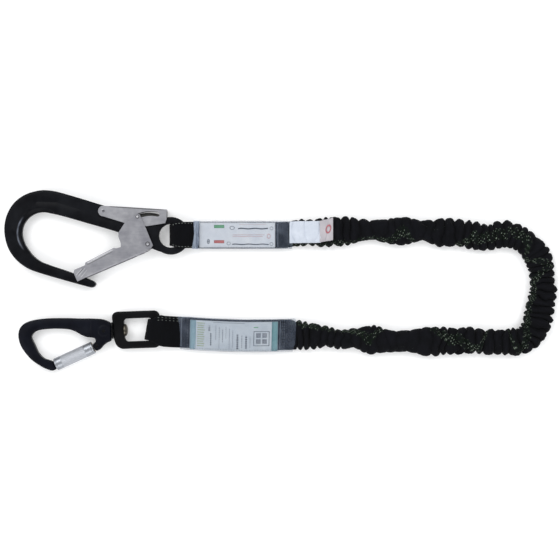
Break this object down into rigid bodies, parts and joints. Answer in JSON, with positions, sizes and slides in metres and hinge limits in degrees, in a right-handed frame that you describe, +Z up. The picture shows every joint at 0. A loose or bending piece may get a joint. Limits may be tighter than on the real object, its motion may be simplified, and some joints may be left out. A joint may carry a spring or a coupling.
{
  "type": "shock absorbing lanyard",
  "caption": "Elasticated fall-arrest lanyard with a gated scaffold hook at one end and a swivelling twist-lock carabiner at the other, joined by a gathered black webbing strap.",
  "frame": {"origin": "on the surface it lies on, below the middle of the box of everything but the elastic strap", "axes": "+X from the hooks towards the strap's turn, +Y from the carabiner towards the scaffold hook, +Z up"},
  "size_m": [0.7284, 0.2388, 0.0216],
  "materials": {
    "black_forging": "satin black coating over forged steel",
    "carabiner_forging": "satin black anodised forging",
    "swivel_black": "satin black coating",
    "zinc_plate": "zinc plated pressed steel",
    "lever_plate": "zinc plated pressed steel",
    "rivet_steel": "domed rivet, plated",
    "spring_steel": "drawn spring wire",
    "sleeve_alloy": "anodised, turned",
    "rod_steel": "ground steel",
    "bronze": "sintered bronze bush",
    "pin_steel": "dark steel pin with a domed head",
    "black_webbing": "woven polyester webbing",
    "elastic_webbing": "gathered tubular polyester with pale tracer threads",
    "core_yarn": "pale partially oriented yarn",
    "thread": "pale polyester thread",
    "clear_film": "clear flexible vinyl sleeve",
    "label_card": null,
    "label_blue": null,
    "white_cloth": "white coated cloth label",
    "tab_cloth": "pale grey cloth tab with a plain red mark"
  },
  "bodies": {
    "lanyard": {"upper_webbing": "black_webbing", "upper_stitching": "thread", "upper_sleeve": "clear_film", "upper_label": "label_card", "white_flap": "white_cloth", "marker_tab": "tab_cloth", "elastic_jacket": "elastic_webbing", "elastic_core": "core_yarn", "lower_webbing": "black_webbing", "lower_stitching": "thread", "lower_sleeve": "clear_film", "lower_label": "label_blue"},
    "scaffold_hook": {"hook_body": "black_forging", "gate_pivot_rivet": "rivet_steel", "lever_pivot_rivet": "rivet_steel"},
    "hook_gate": {"hook_gate": "zinc_plate", "slot_pin": "rivet_steel", "hook_gate_spring": "spring_steel"},
    "lock_lever": {"lock_lever": "lever_plate", "lever_spring": "spring_steel"},
    "swivel_link": {"swivel_eye": "swivel_black"},
    "carabiner": {"carabiner_body": "carabiner_forging", "gate_hinge_pin": "rod_steel", "swivel_pin": "pin_steel", "swivel_cross_pin": "pin_steel", "swivel_washer": "swivel_black"},
    "carabiner_gate": {"gate_rod": "rod_steel", "gate_pushrod": "rod_steel", "gate_spring": "spring_steel"},
    "twist_lock": {"lock_sleeve": "sleeve_alloy", "sleeve_bush": "bronze", "sleeve_spring": "spring_steel"}
  },
  "joints": [
    {"name": "scaffold_hook_swing", "type": "hinge", "parent": "lanyard", "child": "scaffold_hook", "pos_m": [0.0228, 0.0585, 0.011], "axis": [0, 1, 0], "range_deg": [-80, 80], "deforming": ["upper_webbing"]},
    {"name": "hook_gate_hinge", "type": "hinge", "parent": "scaffold_hook", "child": "hook_gate", "pos_m": [-0.0275, 0.0475, 0.011], "axis": [0, 0, -1], "range_deg": [0, 38], "stiffness_Nm_per_rad": 0.15, "springref_deg": -34.38, "deforming": ["hook_gate_spring"]},
    {"name": "lock_lever_press", "type": "hinge", "parent": "scaffold_hook", "child": "lock_lever", "pos_m": [-0.086, 0.091, 0.011], "axis": [0, 0, -1], "range_deg": [0, 2], "stiffness_Nm_per_rad": 0.1, "springref_deg": -5.73, "deforming": ["lever_spring"]},
    {"name": "swivel_link_swing", "type": "hinge", "parent": "lanyard", "child": "swivel_link", "pos_m": [-0.01724, -0.06491, 0.0085], "axis": [-0.0349, 0.9994, 0], "range_deg": [-80, 80], "deforming": ["lower_webbing"]},
    {"name": "carabiner_swivel", "type": "hinge", "parent": "swivel_link", "child": "carabiner", "pos_m": [-0.077, -0.067, 0.0085], "axis": [0.9994, 0.0349, 0], "continuous": true},
    {"name": "carabiner_gate_hinge", "type": "hinge", "parent": "carabiner", "child": "carabiner_gate", "pos_m": [-0.0955, -0.087, 0.0085], "axis": [0, 0, -1], "range_deg": [0, 24], "stiffness_Nm_per_rad": 0.08, "springref_deg": -28.65},
    {"name": "twist_lock_turn", "type": "hinge", "parent": "carabiner_gate", "child": "twist_lock", "pos_m": [-0.0955, -0.087, 0.0085], "axis": [-0.9092, -0.4163, 0], "range_deg": [0, 90], "stiffness_Nm_per_rad": 0.02, "springref_deg": -22.92, "deforming": ["sleeve_spring"]}
  ],
  "couplings": [
    {"joint": "lock_lever_press", "follows": "hook_gate_hinge", "ratio": 0.05}
  ]
}
